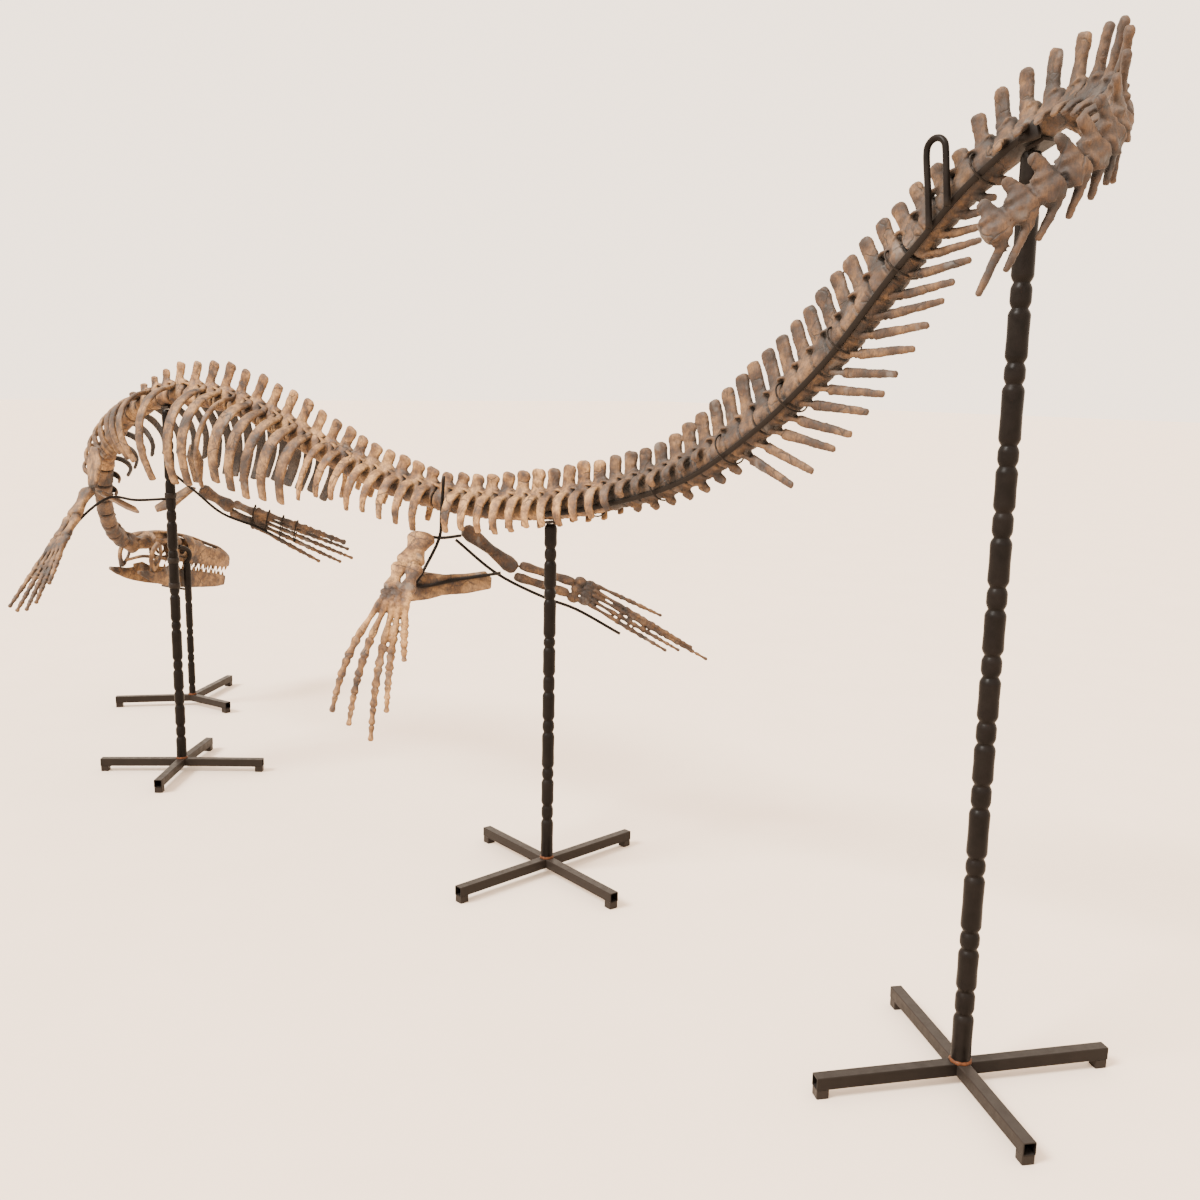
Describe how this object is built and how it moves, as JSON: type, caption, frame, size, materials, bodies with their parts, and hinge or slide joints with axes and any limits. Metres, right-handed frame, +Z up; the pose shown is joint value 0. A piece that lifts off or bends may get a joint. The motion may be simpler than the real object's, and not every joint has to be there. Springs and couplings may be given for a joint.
{
  "type": "mounted mosasaur skeleton",
  "caption": "Mounted skeleton of a swimming mosasaur with an arched back, a raised and curled tail and spread flippers, on free-standing black steel poles with crossed feet.",
  "frame": {"origin": "middle of the whole mount's box, on the floor under the stand feet", "axes": "+X runs from the head to the tail, along the length of the mount; +Y to the animal's right; +Z up"},
  "size_m": [4.851, 1.7396, 2.3215],
  "materials": {
    "bone": "dry tan fossil bone with brown stain, fine grain and dark cracks",
    "dark_bone": "darker brown fossil bone with grey patches and dark cracks",
    "black_steel": "black-brown mill steel, semi-gloss, with rubbed edges and a little rust at the welds"
  },
  "bodies": {
    "root": {"skull": "bone", "lower_jaw": "bone", "neck": "bone", "rib_cage_left": "bone", "rib_cage_right": "bone", "loin": "bone", "tail_base": "bone", "scapula_left": "bone", "scapula_right": "bone", "coracoid_left": "bone", "coracoid_right": "bone", "fore_flipper_left": "bone", "fore_flipper_right": "bone", "hind_flipper_left": "bone", "hind_flipper_right": "bone", "pelvis_left": "bone", "pelvis_right": "bone", "tail_1": "dark_bone", "tail_2": "dark_bone", "tail_3": "dark_bone", "tail_4": "dark_bone", "stand_flank_bar": "black_steel", "stand_head_base": "black_steel", "stand_head_pole": "black_steel", "stand_hind_rod_right": "black_steel", "stand_hip_crossbar": "black_steel", "stand_hip_rod": "black_steel", "stand_jaw_bar": "black_steel", "stand_lifting_loop": "black_steel", "stand_mid_base": "black_steel", "stand_mid_pole": "black_steel", "stand_mid_saddle": "black_steel", "stand_shoulder_base": "black_steel", "stand_shoulder_pole": "black_steel", "stand_shoulder_rod_left": "black_steel", "stand_shoulder_rod_right": "black_steel", "stand_shoulder_saddle": "black_steel", "stand_skull_rod": "black_steel", "stand_tail_base": "black_steel", "stand_tail_pole": "black_steel", "stand_tail_saddle": "black_steel"}
  },
  "joints": []
}
